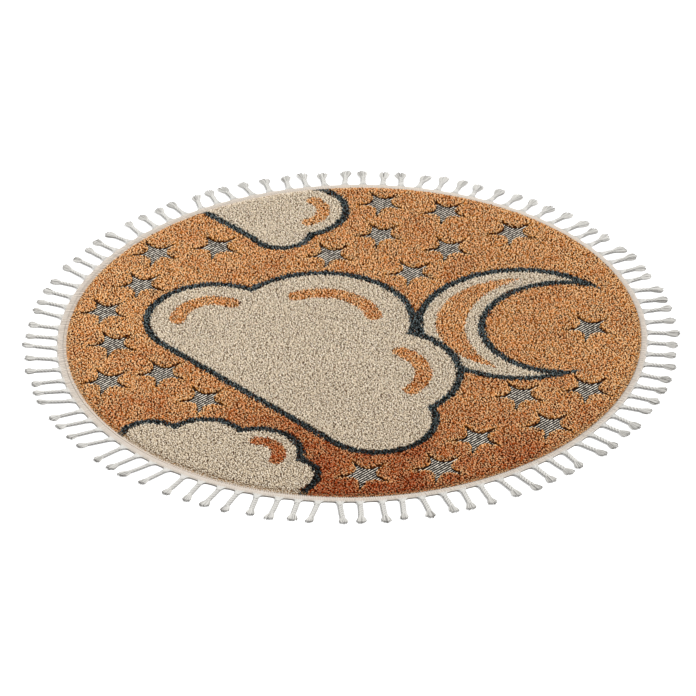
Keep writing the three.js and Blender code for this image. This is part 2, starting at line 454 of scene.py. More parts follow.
def from_bar(x, y, bar):
    """Distance from the edge of a bar with round ends."""
    dx, dy = (bar["x1"] - bar["x0"]) * MM, (bar["y1"] - bar["y0"]) * MM
    px, py = x - bar["x0"] * MM, y - bar["y0"] * MM
    t = np.clip((px * dx + py * dy) / (dx * dx + dy * dy), 0, 1)
    return np.hypot(px - t * dx, py - t * dy) - bar["radius"] * MM


def from_cloud(x, y, cloud):
    """Distance from the edge of a cloud: a long base with round puffs on it."""
    puffs = [from_disc(x, y, puff) for puff in cloud["puffs"]]
    return np.minimum.reduce([from_bar(x, y, cloud["base"]), *puffs])


def from_curl(x, y, curl):
    """Distance from the edge of a stroke that follows an arc inside a cloud."""
    middle, half = math.radians(curl["middle"]), math.radians(curl["half"])
    px, py = x - curl["x"] * MM, y - curl["y"] * MM
    u = px * math.cos(middle) + py * math.sin(middle)
    v = np.abs(py * math.cos(middle) - px * math.sin(middle))
    radius = curl["radius"] * MM
    on_arc = np.abs(np.hypot(u, v) - radius)
    past_end = np.hypot(u - radius * math.cos(half), v - radius * math.sin(half))
    return np.where(np.arctan2(v, u) < half, on_arc, past_end) - curl["width"] * MM / 2


def yarn_colours(x, y):
    """Which yarn is woven at each point: a moon behind a cloud, and two more clouds at the rim."""
    colour = np.full(x.shape, TERRACOTTA)

    def inlay(distance):
        """Weaves a shape in cream with a charcoal outline."""
        colour[distance < OUTLINE / 2] = CHARCOAL
        colour[distance < -OUTLINE / 2] = CREAM

    moon = np.maximum(from_disc(x, y, MOON), -from_disc(x, y, MOON_HOLLOW))
    inlay(moon)
    colour[moon < -MOON_INLAY * MM] = TERRACOTTA
    for cloud in CLOUDS:
        inlay(from_cloud(x, y, cloud))
    for curl in CURLS:
        colour[from_curl(x, y, curl) < 0] = TERRACOTTA
    return colour


def soft_noise(x, y, size, seed):
    """Smooth random hills and hollows, from -1 to 1, one size apart."""
    rng = np.random.default_rng(seed)
    reach = 1.1 * PILE_RADIUS
    count = math.ceil(2 * reach / size) + 2
    hills = rng.uniform(-1, 1, (count, count))
    u, v = (x + reach) / size, (y + reach) / size
    i, j = np.floor(u).astype(int), np.floor(v).astype(int)
    fu, fv = [f * f * (3 - 2 * f) for f in (u - i, v - j)]
    low = hills[i, j] * (1 - fu) + hills[i + 1, j] * fu
    high = hills[i, j + 1] * (1 - fu) + hills[i + 1, j + 1] * fu
    return low * (1 - fv) + high * fv


def pile_lay_and_painted_shading(x, y, star):
    """How the pile lies in patches, with the painted shading that goes with it: from 0, brushed over and
    pale with painted sheen, to 1, open and deep with painted shade; deeper towards the lower right, paler
    towards the upper right and lower left, and paler by the stars and at the rim.
    """
    patches = sum(p["share"] * soft_noise(x, y, p["size"] * MM, p["seed"]) for p in LAY_PATCHES)
    low_right = np.clip((x - y) / (math.sqrt(2) * PILE_RADIUS), 0, 1)
    aside = np.abs(x + y) / (math.sqrt(2) * PILE_RADIUS)
    base = LAY["base"] + LAY["low_right"] * low_right**2 - LAY["aside"] * aside
    inset = PILE_RADIUS - edge_cover(x, y) - np.hypot(x, y)
    at_star = LAY_AND_SHEEN_AT_STAR["share"] * np.exp(-star / LAY_AND_SHEEN_AT_STAR["over"])
    at_rim = LAY_AND_SHEEN_AT_RIM["share"] * np.exp(-inset / LAY_AND_SHEEN_AT_RIM["over"])
    return np.clip(base + patches - (at_star + at_rim), 0, 1)


def tuft_shape():
    """One tuft as a bud that grows out of its root: its points, its triangles and the map of each."""
    bud = bmesh.new()
    bmesh.ops.create_cone(
        bud, cap_ends=True, segments=TUFT_SIDES, radius1=0, radius2=TUFT_SPREAD, depth=TUFT_SHOULDER
    )
    bmesh.ops.remove_doubles(bud, verts=bud.verts[:], dist=0.001)
    bmesh.ops.translate(bud, verts=bud.verts[:], vec=(0, 0, TUFT_SHOULDER / 2))
    bud.normal_update()
    crown = [f for f in bud.faces if f.normal.z > 0.9]
    apex = bmesh.ops.poke(bud, faces=crown)["verts"]
    bmesh.ops.translate(bud, verts=apex, vec=(0, 0, 1 - TUFT_SHOULDER))
    bud.verts.index_update()
    verts = np.array([v.co for v in bud.verts])
    triangles = np.array([[v.index for v in face.verts] for face in bud.faces])
    across, up = TUFT_MARGINS["round"], TUFT_MARGINS["up"]
    uv = []
    for face in bud.faces:
        middle = face.calc_center_median()
        facing = math.atan2(middle.y, middle.x)
        for v in face.verts:
            off = (math.atan2(v.co.y, v.co.x) - facing + math.pi) % (2 * math.pi) - math.pi
            off = 0 if math.hypot(v.co.x, v.co.y) < TUFT_SPREAD / 2 else off
            u = (facing + off) / (2 * math.pi) + 0.5
            uv.append((across + (1 - 2 * across) * u, up + (1 - 2 * up) * v.co.z))
    bud.free()
    return verts, triangles, np.reshape(uv, (-1, 3, 2))


def star_slope(x, y):
    """The direction straight away from the nearest star."""
    step = 0.4 * MM
    dx = (star_distance(x + step, y) - star_distance(x - step, y)) / (2 * step)
    dy = (star_distance(x, y + step) - star_distance(x, y - step)) / (2 * step)
    return dx, dy


def star_reach(x, y):
    """Distance to the centre of the nearest star."""
    return np.minimum.reduce([np.hypot(x - s["x"] * MM, y - s["y"] * MM) for s in STARS])


def scatter_tufts(rng, colour, pitch):
    """Where the tufts of one yarn stand, in rows set half a step apart, and how each differs in shade."""
    rows = np.arange(-PILE_RADIUS, PILE_RADIUS, pitch)
    x, y = np.meshgrid(rows, rows)
    shade = rng.uniform(0, 1, x.shape)
    steps = (-1, 0, 1)
    around = sum(np.roll(shade, (i, j), (0, 1)) for i in steps for j in steps) / len(steps) ** 2
    shade = (shade - around).ravel()
    x = (x + (np.arange(len(rows)) % 2)[:, None] * pitch / 2).ravel()
    y = y.ravel()
    x = x + rng.normal(0, TUFT_JITTER * pitch, x.shape)
    y = y + rng.normal(0, TUFT_JITTER * pitch, y.shape)
    rim = PILE_RADIUS - edge_cover(x, y)
    strayed = rng.normal(0, OUTLINE_STRAY, (2, len(x)))
    own = yarn_colours(x + strayed[0], y + strayed[1]) == colour
    keep = (np.hypot(x, y) < rim - RIM_SHY) & own
    keep[keep] = star_distance(x[keep], y[keep]) > 0
    return x[keep], y[keep], shade[keep]


def seat_tufts(x, y, pitch):
    """Draws the tufts along a star or the rim into even rows, and says how each lies to those edges."""
    star = star_distance(x, y)
    slope_x, slope_y = star_slope(x, y)
    at_tip = np.clip((star_reach(x, y) - STAR_ARM["from"]) / STAR_ARM["length"], 0, 1)
    row = np.floor(star / pitch)
    seat = (row + STAR_ROW) * pitch + STAR_TIP_GAP * at_tip
    moved = np.where(row < EDGE_ROWS, seat - star, 0)
    x, y = x + moved * slope_x, y + moved * slope_y
    radius = np.hypot(x, y)
    rim = PILE_RADIUS - edge_cover(x, y)
    rim_row = np.floor((rim - RIM_SHY - radius) / pitch)
    wanted = rim - RIM_GAP - (rim_row + 0.5) * pitch
    pulled = np.where(rim_row < EDGE_ROWS, wanted / radius, 1)
    x, y = x * pulled, y * pulled
    return x, y, star + moved, rim - np.hypot(x, y), at_tip, slope_x, slope_y


def lay_out_tufts(colour, pitch, kink, patchy):
    """The tufts of one yarn: each one's foot, height, lean, turn, width, random shade, lay with its painted
    shading, and painted shadow.
    """
    rng = np.random.default_rng(TUFT_SEED)
    x, y, shade = scatter_tufts(rng, colour, pitch)
    x, y, star, inset, at_tip, slope_x, slope_y = seat_tufts(x, y, pitch)
    insets, heights = [np.array(RIM_HEIGHTS[key]) * MM for key in ("inset", "height")]
    dropped = STAR_DROP["most"] * np.exp(-star / STAR_DROP["over"])
    top = np.interp(inset, insets, heights) + rng.normal(0, TUFT_UNEVEN, x.shape) - dropped
    most = STAR_LEAN["valley"] - STAR_LEAN["less_at_tip"] * at_tip
    over_star = most * np.exp(-star / STAR_LEAN["over"])
    over_rim = RIM_LEAN["most"] * np.exp(-inset / RIM_LEAN["over"]) / np.hypot(x, y)
    lay_and_painted_shading = 0.5 + patchy * (pile_lay_and_painted_shading(x, y, star) - 0.5)
    opened = lay_and_painted_shading - 0.5
    lean_x = rng.normal(0, kink, x.shape) - over_star * slope_x + over_rim * x + LAY_LEAN["x"] * opened
    lean_y = rng.normal(0, kink, x.shape) - over_star * slope_y + over_rim * y + LAY_LEAN["y"] * opened
    # Painted shadow beside the stars, painted light at the rim.
    in_shadow = np.exp(-star / SHADOW["star_over"])
    in_light = SHADOW["rim_share"] * np.exp(-inset / SHADOW["rim_over"])
    return {
        "x": x,
        "y": y,
        "height": top - GROUND_TOP,
        "lean_x": lean_x,
        "lean_y": lean_y,
        "turn": rng.uniform(0, 2 * math.pi, x.shape),
        "width": pitch * rng.uniform(*TUFT_WIDTHS, x.shape),
        "shade": shade,
        "lay_and_painted_shading": lay_and_painted_shading,
        "sunk": in_shadow - in_light,
    }


def tuft_mesh(name, tufts):
    """All of these tufts as one mesh, with each vertex's rise, lowered where shadow is painted and raised
    where light is, its tuft's shade and its lay with its painted shading.
    """
    shape, triangles, shape_uv = tuft_shape()
    count = len(tufts["x"])
    column = {key: values[:, None] for key, values in tufts.items()}
    cos, sin = np.cos(column["turn"]), np.sin(column["turn"])
    rise = shape[None, :, 2]
    bend = column["height"] * rise**TUFT_BEND
    px = column["width"] * (shape[None, :, 0] * cos - shape[None, :, 1] * sin)
    py = column["width"] * (shape[None, :, 0] * sin + shape[None, :, 1] * cos)
    verts = np.stack(
        [
            column["x"] + px + bend * column["lean_x"],
            column["y"] + py + bend * column["lean_y"],
            GROUND_TOP - TUFT_TUCK + column["height"] * rise,
        ],
        -1,
    )
    first = (np.arange(count) * len(shape))[:, None]
    faces = [first + triangle for triangle in triangles]
    columns = math.ceil(math.sqrt(count))
    cell = np.arange(count)
    origin = np.stack([cell % columns, cell // columns], 1)[:, None]
    uv = np.concatenate([((origin + part) / columns).reshape(-1, 2) for part in shape_uv])
    all_points = np.ones(len(shape))
    # Painted shadow: where it is painted, more of each tuft takes its dark foot colour; painted light gives
    # less.
    attributes = {
        "rise": rise ** (1 + SHADOW["power"] * column["sunk"]),
        "shade": all_points * column["shade"],
        "lay_and_painted_shading": all_points * column["lay_and_painted_shading"],
    }
    return joined_mesh(name, verts.reshape(-1, 3), faces, attributes, uv)


def pile_yarn(name, foot, pale, deep, tip, spread):
    """Heat-set pile yarn: painted shade at the roots between the tufts, a painted highlight at the cut tips,
    pale or deep by the lay's painted shading, no two tufts quite alike.
    """
    material, tree, shader = start_material(name, roughness=0.9, sheen=0.04, tint=tip)
    rise, shade, lay_and_painted_shading = [
        add(tree, "Attribute", attribute_name=key).outputs["Fac"] for key in ("rise", "shade", "lay_and_painted_shading")
    ]
    # Painted sheen and shade: pale where the pile is brushed over, deep where it stands open.
    painted_lay_shading = {"Factor": lay_and_painted_shading, 6: linear(pale), 7: linear(deep)}
    body = add(tree, "Mix", painted_lay_shading, data_type="RGBA").outputs[2]
    up = add(tree, "MapRange", {"Value": rise, "From Min": 0.1, "To Min": 0.05, "To Max": 0.72})
    own = add(tree, "Math", {0: shade, 1: spread}, operation="MULTIPLY")
    tone = add(tree, "Math", {0: up.outputs[0], 1: own.outputs[0]}, operation="ADD").outputs[0]
    low = add(tree, "MapRange", {"Value": tone, "From Max": 0.5}).outputs[0]
    high = add(tree, "MapRange", {"Value": tone, "From Min": 0.5}).outputs[0]
    grown = {"Factor": low, 6: linear(foot), 7: body}
    below_tip = add(tree, "Mix", grown, data_type="RGBA").outputs[2]
    # Painted highlight: the tips pale more where the lay is brushed over.
    highlight_by_lay = {0: lay_and_painted_shading, 1: TIP_HIGHLIGHT["by_lay"], 2: TIP_HIGHLIGHT["most"]}
    brushed = add(tree, "Math", highlight_by_lay, operation="MULTIPLY_ADD").outputs[0]
    highlight_share = add(tree, "Math", {0: high, 1: brushed}, operation="MULTIPLY").outputs[0]
    tipped = {"Factor": highlight_share, 6: below_tip, 7: linear(tip)}
    colour = add(tree, "Mix", tipped, data_type="RGBA").outputs[2]
    tree.links.new(colour, shader.inputs["Base Color"])
    return material


# In each look, foot is painted shade at the roots and tip a painted highlight; pale and deep are the yarn
# with painted sheen and with painted shade.
PILE_YARNS = [
    {
        "name": "terracotta",
        "layout": {"colour": TERRACOTTA, "pitch": 2.8 * MM, "kink": 0.18, "patchy": 1.0},
        "pieces": 3,
        "look": {"foot": "3a0c00", "pale": "e3984d", "deep": "bf4603", "tip": "f6cc99", "spread": 1.65},
    },
    {
        "name": "cream",
        "layout": {"colour": CREAM, "pitch": 2.95 * MM, "kink": 0.2, "patchy": 0.15},
        "pieces": 2,
        "look": {"foot": "7c674c", "pale": "e2d2b8", "deep": "dbc8ac", "tip": "f9efdf", "spread": 0.97},
    },
    {
        "name": "charcoal",
        "layout": {"colour": CHARCOAL, "pitch": 3.0 * MM, "kink": 0.28, "patchy": 1.0},
        "pieces": 1,
        "look": {"foot": "020303", "pale": "242a2a", "deep": "161b1b", "tip": "6c7677", "spread": 1.5},
    },
]

for yarn in PILE_YARNS:
    material = pile_yarn(yarn["name"] + "_yarn", **yarn["look"])
    tufts = lay_out_tufts(**yarn["layout"])
    for number, part in enumerate(np.array_split(np.arange(len(tufts["x"])), yarn["pieces"]), 1):
        name = f"pile_{yarn['name']}_{number}"
        mesh = tuft_mesh(name, {key: values[part] for key, values in tufts.items()})
        finish_piece(name, mesh, material, "rug")


# Fringe tape: a narrow woven cotton tape, natural white, whose outer yarns gather into the
# tassels. It lies on the floor along the pile's edge. Its ribs are drawn coarser than real ones,
# so that they show.
SEAM_GAP = 0.35 * MM
TAPE_OUTER = 600 * MM
TAPE_INNER = PILE_RADIUS + SEAM_GAP
SCALLOP_DEPTH = 5.5 * MM
SCALLOP_REACH = 7 * MM
TAPE_PROFILE = [
    {"share": 0.0, "height": 0.0},
    {"share": 1.0, "height": 0.0},
    {"share": 1.0, "height": 2.0},
    {"share": 0.95, "height": 2.8},
    {"share": 0.7, "height": 3.2},
    {"share": 0.35, "height": 3.6},
    {"share": 0.07, "height": 3.8},
    {"share": 0.0, "height": 3.2},
]
TASSEL_COUNT = 94
TASSEL_STRAY = 0.05
TAPE_STEPS = 12 * TASSEL_COUNT
TAPE_MERGE = 0.05 * MM
TAPE_RIB_PITCH = 2.4 * MM
TAPE_RIB_SHADE = 0.12
TAPE_RIB_DEPTH = 0.4 * MM
TAPE_BLOTCH = 6 * MM
TAPE_SHADOW = {"from": 2.4 * MM, "to": 1.2 * MM}
STITCH_REACH = 10 * MM
UNEVEN_STEPS = {
    "place": 0.618034,
    "lean": 0.75487767,
    "bow": 0.56984029,
    "stem": 0.41421356,
    "brush": 0.7320508,
    "flare": 0.2360679,
    "twist": 0.3819,
}


def uneven(what):
    """A value from -1 to 1 for each tassel; irrational steps keep any two from varying alike."""
    return 2 * ((np.arange(TASSEL_COUNT) * UNEVEN_STEPS[what]) % 1) - 1


tassel_places = np.arange(TASSEL_COUNT) + TASSEL_STRAY * uneven("place")
tassel_angles = tassel_places * 2 * math.pi / TASSEL_COUNT


def tape_mesh():
    """The tape's section spun round the rug, drawn in between the tassels to scallops."""
    tape = bmesh.new()
    width = TAPE_OUTER - TAPE_INNER
    ring = [
        tape.verts.new((TAPE_INNER + p["share"] * width, 0, p["height"] * MM)) for p in TAPE_PROFILE
    ]
    edges = [tape.edges.new((a, b)) for a, b in zip(ring, ring[1:] + ring[:1])]
    bmesh.ops.spin(
        tape,
        geom=ring + edges,
        axis=(0, 0, 1),
        cent=(0, 0, 0),
        steps=TAPE_STEPS,
        angle=2 * math.pi,
        use_merge=True,
    )
    bmesh.ops.remove_doubles(tape, verts=tape.verts[:], dist=TAPE_MERGE)
    bmesh.ops.recalc_face_normals(tape, faces=tape.faces[:])
    for v in tape.verts:
        radius = math.hypot(v.co.x, v.co.y)
        share = (radius - TAPE_INNER) / width
        angle = math.atan2(v.co.y, v.co.x)
        turns = np.abs((tassel_angles - angle + math.pi) % (2 * math.pi) - math.pi)
        gap = turns.min() * TAPE_OUTER
        drawn_in = SCALLOP_DEPTH * (1 - math.exp(-((gap / SCALLOP_REACH) ** 2)))
        grown = 1 - share * drawn_in / radius
        v.co.x *= grown
        v.co.y *= grown
    for face in tape.faces:
        face.smooth = True
    mesh = bpy.data.meshes.new("fringe_tape")
    tape.to_mesh(mesh)
    tape.free()
    return mesh


def tape_cotton():
    """Unbleached cotton tape: off-white, with fine ribs across it, painted shade in their hollows and
    painted shadow along its edge where it meets the floor.
    """
    material, tree, shader = start_material("natural_cotton_tape", roughness=0.9, sheen=0.2, tint="fffaf2")
    place = add(tree, "TexCoord").outputs["Object"]
    axes = add(tree, "SeparateXYZ", {"Vector": place}).outputs
    angle = add(tree, "Math", {0: axes["Y"], 1: axes["X"]}, operation="ARCTAN2").outputs[0]
    ribs = round(2 * math.pi * TAPE_OUTER / TAPE_RIB_PITCH)
    rib_turn = add(tree, "Math", {0: angle, 1: ribs}, operation="MULTIPLY").outputs[0]
    rib = add(tree, "Math", {0: rib_turn}, operation="SINE").outputs[0]
    blotch = add(tree, "TexNoise", {"Vector": place, "Scale": 1 / TAPE_BLOTCH, "Detail": 3.0})
    # Painted shade: the colour darkens in each rib's hollow, on top of the random blotches.
    ribbed = {0: rib, 1: TAPE_RIB_SHADE, 2: blotch.outputs["Fac"]}
    tone = add(tree, "Math", ribbed, operation="MULTIPLY_ADD").outputs[0]
    cotton = {"Factor": tone, 6: linear("a89d91"), 7: linear("e6dfd6")}
    colour = add(tree, "Mix", cotton, data_type="RGBA").outputs[2]
    from_middle = add(tree, "VectorMath", {0: place}, operation="LENGTH").outputs["Value"]
    stitched_to = {0: from_middle, 1: TAPE_INNER + STITCH_REACH}
    under_stitches = add(tree, "Math", stitched_to, operation="LESS_THAN").outputs[0]
    stitched = {"Factor": under_stitches, 6: colour, 7: linear("ccc1b5")}
    shaded = add(tree, "Mix", stitched, data_type="RGBA").outputs[2]
    # Painted shadow: the tape darkens towards the floor along its outer edge.
    lower = {"Value": axes["Z"], "From Min": TAPE_SHADOW["from"], "From Max": TAPE_SHADOW["to"]}
    near_floor = add(tree, "MapRange", lower).outputs[0]
    floor_shadowed = {"Factor": near_floor, 6: shaded, 7: linear("5a534b")}
    seen = add(tree, "Mix", floor_shadowed, data_type="RGBA").outputs[2]
    bump = add(tree, "Bump", {"Height": rib, "Strength": 0.5, "Distance": TAPE_RIB_DEPTH})
    tree.links.new(seen, shader.inputs["Base Color"])
    tree.links.new(bump.outputs["Normal"], shader.inputs["Normal"])
    return material


fringe_tape = finish_piece("fringe_tape", tape_mesh(), tape_cotton(), "fringe")


# Overlocking: white cotton thread that a machine winds over the rug's rim and the tape's inner
# edge, stitch beside stitch. It joins the two. The stitches are drawn wider apart than real
# ones, so that they show.
STITCH_PITCH = 4.2 * MM
STITCH_STRAY = 0.3
STITCH_SKEW = {"mean": 1.4 * MM, "vary": 0.35 * MM}
STITCH_LENGTHS = (0.86, 1.1)
STITCH_PATH = [
    {"out": -1.5, "height": 3.4, "lap": 1.0},
    {"out": 0.3, "height": 4.1, "lap": 0.4},
    {"out": 3.5, "height": 3.85, "lap": 0.0},
    {"out": 7.0, "height": 3.55, "lap": 0.0},
    {"out": 9.6, "height": 3.3, "lap": 0.0},
    {"out": 10.0, "height": 2.5, "lap": 0.0},
]
STITCH_LAP_RISE = 0.2
STITCH_THREAD = 0.8 * MM
STITCH_THICKNESSES = (0.85, 1.15)
STITCH_SIDES = 4
STITCH_SEED = 5
THREAD_FIBRES = 4 * MM


def overlock_mesh():
    """One bent thread for each stitch, from the pile's rim out over the tape."""
    count = round(2 * math.pi * TAPE_INNER / STITCH_PITCH)
    rng = np.random.default_rng(STITCH_SEED)
    angle = (np.arange(count) + rng.uniform(-STITCH_STRAY, STITCH_STRAY, count)) * 2 * math.pi / count
    skew = STITCH_SKEW["mean"] + rng.normal(0, STITCH_SKEW["vary"], count)
    out, height, lap = [np.array([p[key] for p in STITCH_PATH]) for key in ("out", "height", "lap")]
    lapped = edge_cover(np.cos(angle), np.sin(angle))[:, None] * lap
    share = np.linspace(0, 1, len(STITCH_PATH))
    radius = TAPE_INNER + MM * out * rng.uniform(*STITCH_LENGTHS, count)[:, None] - lapped
    turn = angle[:, None] + share * skew[:, None] / TAPE_INNER
    up = MM * height + STITCH_LAP_RISE * lapped
    paths = np.stack([radius * np.cos(turn), radius * np.sin(turn), up], -1)
    radii = STITCH_THREAD * rng.uniform(*STITCH_THICKNESSES, count)[:, None] + 0 * turn
    verts, faces, uv = swept_yarns(paths, radii, STITCH_SIDES)
    return joined_mesh("overlock_stitches", verts, faces, uv=uv)


def overlock_thread():
    """Spun cotton: off-white, matt, with loose fibres that soften every edge."""
    material, tree, shader = start_material("overlock_thread", roughness=0.9, sheen=0.2, tint="fffdf8")
    place = add(tree, "TexCoord").outputs["Object"]
    fibres = add(tree, "TexNoise", {"Vector": place, "Scale": 1 / THREAD_FIBRES, "Detail": 3.0})
    spun = {"Factor": fibres.outputs["Fac"], 6: linear("c4baaf"), 7: linear("e2dad1")}
    colour = add(tree, "Mix", spun, data_type="RGBA").outputs[2]
    tree.links.new(colour, shader.inputs["Base Color"])
    return material


overlock_stitches = finish_piece(
    "overlock_stitches", overlock_mesh(), overlock_thread(), "fringe"
)


# Tassels: cotton yarns drawn out of the tape, twisted in three plies and left open at the end
# as a brush. They lie on the floor, none quite straight.
STEM_LENGTH = 36 * MM
STEM_VARY = 3 * MM
STEM_TUCK = 3 * MM
LONG_SIDE_ANGLE = math.radians(293)
LONG_STEM = 10.5 * MM
LEAN_VARY = math.radians(8)
SWEPT_SIDE = {"angle": math.radians(222), "from": 0.42, "over": 0.2, "lean": math.radians(10.5)}
BOW_VARY = 6 * MM
PLIES = 3
PLY_RADIUS = 2.5 * MM
PLY_NECK = 0.6
PLY_OFFSET = 3.3 * MM
PLY_FLAT = 0.5
PLY_LIFT = 0.3
PLY_PITCH = 21 * MM
PLY_TURN_VARY = 6
PLY_STEPS = 22
PLY_SIDES = 5
ROOT_YARNS = 6
ROOT_FROM = -8 * MM
ROOT_LENGTH = 17 * MM
ROOT_SPREAD = {"neck": 3.2 * MM, "flare": 6 * MM}
ROOT_HEIGHT = {"start": 2.4 * MM, "rise": 1.1 * MM}
ROOT_RADIUS = {"start": 1.3 * MM, "swell": 0.5 * MM, "taper": 0.9 * MM}
ROOT_STEPS = 5
ROOT_SIDES = 4
# Painted shade: the root yarns are painted a little darker than fully lit cotton.
ROOT_PAINTED_LIT = 0.85
BRUSH_SEED = 3
BRUSH_LENGTH = 22.5 * MM
BRUSH_VARY = 2 * MM
SHORT_BRUSH = 3 * MM
BRUSH_TUCK = 1.5 * MM
BRUSH_HALF_WIDTH = 9.4 * MM
BRUSH_FLARE = {"angle": math.radians(95), "more": 0.15, "vary": 0.1}
BRUSH_ENDS = {"middle": 1.02, "outer_less": 0.2, "power": 2.4, "vary": 0.05}
BRUSH_FAN = {"neck": 0.36, "open_at": 0.9}
BRUSH_CROWN = {"height": 2.4 * MM, "edge": 0.4 * MM, "neck": 0.25, "swell": 0.65}
STRANDS = 16
STRAND_STEPS = 6
STRAND_SIDES = 4
STRAND_RADIUS = 1.3 * MM
STRAND_SWELL = {"neck": 0.85, "more": 0.3, "tip": 0.45}
STRAND_STRAY = {"place": 0.08, "tip": 0.35 * MM}
# Painted shade on the brush strands: darker the lower they lie, and darker at the cut ends.
STRAND_PAINTED_LIT = {"low": 0.55, "by_layer": 0.45, "vary": 0.1, "tip_less": 0.35}
TASSEL_FIBRES = 3 * MM
FIBRE_SHARE = 0.3

longer = np.cos(tassel_angles - LONG_SIDE_ANGLE)
to_swept_side = np.cos(tassel_angles - SWEPT_SIDE["angle"])
swept = np.clip((to_swept_side - SWEPT_SIDE["from"]) / SWEPT_SIDE["over"], 0, 1)
tassel_lean = LEAN_VARY * uneven("lean") - SWEPT_SIDE["lean"] * swept**2 * (3 - 2 * swept)
tassel_bow = BOW_VARY * uneven("bow")
stem_lengths = STEM_LENGTH + LONG_STEM * longer + STEM_VARY * uneven("stem")
brush_lengths = BRUSH_LENGTH - SHORT_BRUSH * longer + BRUSH_VARY * uneven("brush")
flared = BRUSH_FLARE["more"] * np.cos(tassel_angles - BRUSH_FLARE["angle"])
brush_flares = 1 + flared + BRUSH_FLARE["vary"] * uneven("flare")


def on_tassel(tassel, along, across, up):
    """Points given along, across and above a tassel, placed on the rug; tassel numbers each row."""
    lean, bow, angle = [a[tassel][:, None] for a in (tassel_lean, tassel_bow, tassel_angles)]
    whole = (stem_lengths + brush_lengths)[tassel][:, None]
    out = TAPE_OUTER + along * np.cos(lean)
    drift = across + along * np.sin(lean) + bow * (along / whole) ** 2
    x = out * np.cos(angle) - drift * np.sin(angle)
    y = out * np.sin(angle) + drift * np.cos(angle)
    return np.stack([x, y, up], -1)


def stem_mesh():
    """Three plies for each tassel, wound round each other from the tape to the neck."""
    tassel = np.repeat(np.arange(TASSEL_COUNT), PLIES)
    hand = np.tile(2 * math.pi * np.arange(PLIES) / PLIES, TASSEL_COUNT)[:, None]
    share = np.linspace(0, 1, PLY_STEPS)[None]
    along = -STEM_TUCK + share * (stem_lengths[tassel][:, None] + 2 * STEM_TUCK)
    turn = 2 * math.pi * along / PLY_PITCH + hand + PLY_TURN_VARY * uneven("twist")[tassel][:, None]
    middle = PLY_FLAT * PLY_RADIUS + PLY_LIFT * PLY_OFFSET
    up = middle + PLY_LIFT * PLY_OFFSET * np.sin(turn)
    paths = on_tassel(tassel, along, PLY_OFFSET * np.cos(turn), up)
    radii = PLY_RADIUS * np.where(share == 1, PLY_NECK, 1.0) + 0 * along
    verts, faces, uv = swept_yarns(paths, radii, PLY_SIDES, PLY_FLAT)
    # Painted shade: the lower a point on a ply, the darker it is painted.
    above = verts[:, 2] / (2 * middle)
    return joined_mesh("tassel_stems", verts, faces, {"painted_lit_share": above}, uv)


def root_mesh():
    """The tape's yarns that run together along its scallops into each stem."""
    tassel = np.repeat(np.arange(TASSEL_COUNT), ROOT_YARNS)
    side = np.tile(np.linspace(-1, 1, ROOT_YARNS), TASSEL_COUNT)[:, None]
    share = np.linspace(0, 1, ROOT_STEPS)[None]
    along = ROOT_FROM + share * ROOT_LENGTH + 0 * side
    across = side * (ROOT_SPREAD["neck"] + ROOT_SPREAD["flare"] * (1 - share) ** 2)
    up = ROOT_HEIGHT["start"] + ROOT_HEIGHT["rise"] * share + 0 * side
    swollen = ROOT_RADIUS["start"] + ROOT_RADIUS["swell"] * share
    radii = swollen - ROOT_RADIUS["taper"] * share**4 + 0 * side
    verts, faces, uv = swept_yarns(on_tassel(tassel, along, across, up), radii, ROOT_SIDES)
    return joined_mesh("tassel_roots", verts, faces, {"painted_lit_share": np.full(len(verts), ROOT_PAINTED_LIT)}, uv)


def brush_mesh():
    """The brush below each neck: yarn ends that fan out, the outer ones shorter."""
    rng = np.random.default_rng(BRUSH_SEED)
    tassel = np.repeat(np.arange(TASSEL_COUNT), STRANDS)
    count = len(tassel)
    place = np.tile(np.linspace(-1, 1, STRANDS), TASSEL_COUNT)
    place = place + rng.normal(0, STRAND_STRAY["place"], count)
    layer = rng.uniform(0, 1, count)
    shorter = BRUSH_ENDS["outer_less"] * np.abs(place) ** BRUSH_ENDS["power"]
    ends = BRUSH_ENDS["middle"] - shorter + rng.normal(0, BRUSH_ENDS["vary"], count)
    reach = (brush_lengths[tassel] * ends)[:, None]
    half = BRUSH_HALF_WIDTH * brush_flares[tassel]
    share = np.linspace(0, 1, STRAND_STEPS)[None]
    along = stem_lengths[tassel][:, None] - BRUSH_TUCK + share * (reach + BRUSH_TUCK)
    opened = np.sin(np.clip(share / BRUSH_FAN["open_at"], 0, 1) * math.pi / 2)
    fan = BRUSH_FAN["neck"] + (1 - BRUSH_FAN["neck"]) * opened
    strayed = rng.normal(0, STRAND_STRAY["tip"], count)[:, None] * share
    across = place[:, None] * half[:, None] * fan + strayed
    crown = BRUSH_CROWN["height"] * np.sqrt(np.clip(1 - place**2, 0, 1))[:, None]
    swell = np.sin(math.pi * np.clip(BRUSH_CROWN["neck"] + (1 - BRUSH_CROWN["neck"]) * share, 0, 1))
    swollen = crown * (1 - BRUSH_CROWN["swell"] + BRUSH_CROWN["swell"] * swell)
    up = STRAND_RADIUS + layer[:, None] * (swollen + BRUSH_CROWN["edge"])
    at_end = share == 1
    thickness = STRAND_SWELL["neck"] + STRAND_SWELL["more"] * share
    radii = STRAND_RADIUS * thickness * np.where(at_end, STRAND_SWELL["tip"], 1.0) + 0 * along
    verts, faces, uv = swept_yarns(on_tassel(tassel, along, across, up), radii, STRAND_SIDES)
    # Painted shade: lower strands and the cut ends are painted darker.
    open_to_light = STRAND_PAINTED_LIT["low"] + STRAND_PAINTED_LIT["by_layer"] * layer
    open_to_light = open_to_light + rng.normal(0, STRAND_PAINTED_LIT["vary"], count)
    painted_lit_share = open_to_light[:, None] - STRAND_PAINTED_LIT["tip_less"] * at_end
    painted_lit_share = np.repeat(painted_lit_share, STRAND_SIDES, axis=1)
    return joined_mesh("tassel_brushes", verts, faces, {"painted_lit_share": painted_lit_share}, uv)


